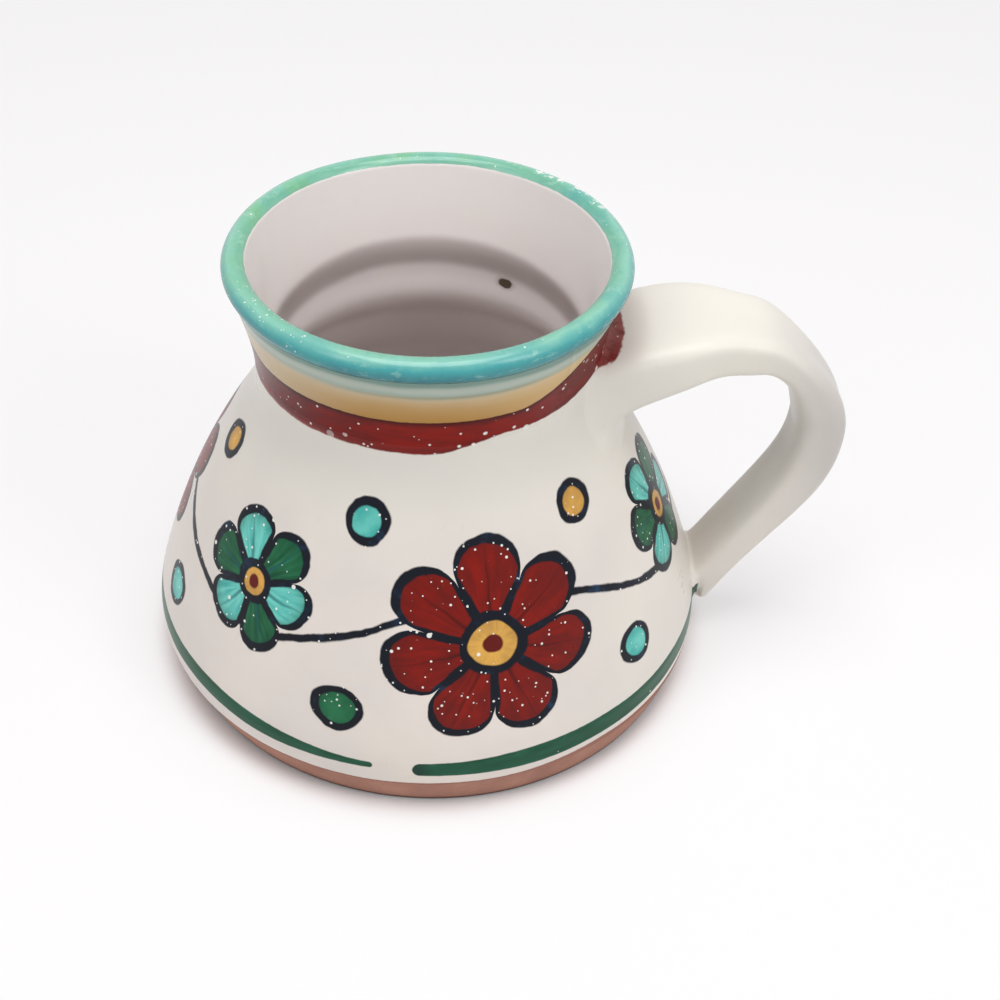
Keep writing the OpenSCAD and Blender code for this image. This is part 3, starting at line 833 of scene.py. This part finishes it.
# The rings of the whole handle, from the body's wall at the upper root to the wall at the tail
def strapRows():
    sides, ease = strap["sides"], strap["easeRings"]
    rows, upperEnds = rootRings(upperRoot)
    lowerRows, lowerEnds = rootRings(lowerRoot)
    common, last = max(upperEnds) + strap["clear"][0], min(lowerEnds) - strap["clear"][1]
    mid = int(strap["stretchRings"] * (last - common))
    for j in range(1, ease):
        rows.append([onStrap(k, upperEnds[k] + (common - upperEnds[k]) * j / ease) for k in range(sides)])
    for j in range(mid + 1):
        rows.append([onStrap(k, common + (last - common) * j / mid) for k in range(sides)])
    for j in range(1, ease):
        rows.append([onStrap(k, last + (lowerEnds[k] - last) * j / ease) for k in range(sides)])
    return rows + lowerRows[::-1]


# A circle of vertices is set on the first ring and extruded from ring to ring.
def strapShape():
    rows = strapRows()
    bm = bmesh.new()
    bmesh.ops.create_circle(bm, segments=strap["sides"], radius=1)
    ring = list(bm.verts)
    edges = list(bm.edges)
    for v, place in zip(ring, rows[0]):
        v.co = place
    firstEdges = edges
    for row in rows[1:]:
        made = bmesh.ops.extrude_edge_only(bm, edges=edges)["geom"]
        edges = [e for e in made if isinstance(e, bmesh.types.BMEdge) and all(v not in ring for v in e.verts)]
        following = []
        for v in ring:
            following.append(next(e.other_vert(v) for e in v.link_edges
                                  if e.other_vert(v) in made and e.other_vert(v) not in ring))
        ring = following
        for v, place in zip(ring, row):
            v.co = place
    for loop in (firstEdges, edges):
        cap = bmesh.ops.edgeloop_fill(bm, edges=loop)["faces"]
        bmesh.ops.poke(bm, faces=cap)
    return bm


handle = finishPiece("strapHandle", strapShape(), strapPaint,
                     ["handle", "handle_glaze", "upper_joint", "lower_joint"], 180)
smooth = handle.modifiers.new("smooth", "SUBSURF")
smooth.levels = smooth.render_levels = 2
print("handle")

# Floor, light and camera, in metres
studio = {
    "floor": (.93, .92, .925, 1), "roughness": .9, "floorSize": 6, "floorDrop": .0001,
    "backdrop": (.93, .915, .93, 1), "world": .37,
    "contact": (.0598, .066), "bare": .52, "fade": (.2, 1.1),      # how the floor goes over to the backdrop
}
lamps = {"above": ((0, -.1, 1.05), (.7, .7), 7.6), "right": ((.62, -.5, .72), (.3, .5), 2.0),
         "left": ((-.6, -.45, .75), (.3, .5), 1.0)}                # place, size and power
shot = {"distance": .3525, "elevation": 37.92, "aim": (0, 0, .05), "sensor": 36,
        "frame": 1000, "focal": 1600, "aimPixel": (428.9, 442.8),      # these three in pixels
        "near": .01, "far": 30}


# 1 for what the camera sees, straight or in a gloss, and 0 for the light that falls on things
def inSight(tree):
    path = tree.nodes.new("ShaderNodeLightPath")
    camera, gloss, clear = (Field(tree, path.outputs["Is " + kind + " Ray"])
                            for kind in ("Camera", "Glossy", "Transmission"))
    return camera.most(gloss).most(clear)


bm = bmesh.new()
bmesh.ops.create_grid(bm, x_segments=2, y_segments=2, size=studio["floorSize"])
bmesh.ops.translate(bm, vec=(0, 0, -studio["floorDrop"]), verts=bm.verts)      # clear of the foot's own face
floorMesh = bpy.data.meshes.new("floor")
bm.to_mesh(floorMesh)
bm.free()
floor = bpy.data.objects.new("floor", floorMesh)
bpy.context.scene.collection.objects.link(floor)
floorPaint = bpy.data.materials.new("floorPaint")
floorPaint.use_nodes = True
tree = floorPaint.node_tree
card = tree.nodes["Principled BSDF"]
card.inputs["Base Color"].default_value = studio["floor"]
card.inputs["Roughness"].default_value = studio["roughness"]
plain = Field(tree, card.outputs[0])
glow = plain.make("Emission", None, {"Color": studio["backdrop"]})
spot = Field(tree, tree.nodes.new("ShaderNodeTexCoord").outputs["Object"])
x, y = (spot.make("SeparateXYZ", None, {0: spot}, k) for k in range(2))
away = x.length(y)
share = away.rise(*studio["contact"]) * studio["bare"] + away.rise(*studio["fade"]) * (1 - studio["bare"])
shown = plain.make("MixShader", None, {0: inSight(tree) * share, 1: plain, 2: glow})
tree.links.new(shown.socket, tree.nodes["Material Output"].inputs["Surface"])
floorMesh.materials.append(floorPaint)

world = bpy.data.worlds.new("studio")
bpy.context.scene.world = world
world.use_nodes = True
background = world.node_tree.nodes["Background"]
level = inSight(world.node_tree) * (studio["backdrop"][1] - studio["world"]) + studio["world"]
world.node_tree.links.new(level.socket, background.inputs["Strength"])
background.inputs["Color"].default_value = (1, 1, 1, 1)


def softBox(name, place, size, power):
    lamp = bpy.data.lights.new(name, "AREA")
    lamp.shape, lamp.size, lamp.size_y, lamp.energy = "RECTANGLE", size[0], size[1], power
    box = bpy.data.objects.new(name, lamp)
    box.location = place
    box.rotation_mode = "QUATERNION"
    box.rotation_quaternion = (Vector(place) - Vector(shot["aim"])).to_track_quat("Z", "Y")
    bpy.context.scene.collection.objects.link(box)


for name, (place, size, power) in lamps.items():
    softBox(name, place, size, power)

eye = math.radians(shot["elevation"])
toAim = Vector((0, math.cos(eye), -math.sin(eye)))
base = Matrix(((1, 0, 0), (0, math.sin(eye), math.cos(eye)), tuple(-toAim))).transposed()
across, down = (v - shot["frame"] / 2 for v in shot["aimPixel"])
aimRay = Vector((across / shot["focal"], -down / shot["focal"], -1)).normalized()
turned = aimRay.rotation_difference(Vector((0, 0, -1))).to_matrix()
lens = bpy.data.cameras.new("camera")
lens.sensor_width, lens.lens = shot["sensor"], shot["sensor"] * shot["focal"] / shot["frame"]
lens.clip_start, lens.clip_end = shot["near"], shot["far"]
camera = bpy.data.objects.new("camera", lens)
bpy.context.scene.collection.objects.link(camera)
stand = Vector(shot["aim"]) - toAim * shot["distance"]
camera.matrix_world = Matrix.Translation(stand) @ (base @ turned).to_4x4()
bpy.context.scene.camera = camera
bpy.context.scene.view_settings.view_transform = "Standard"
print("studio")
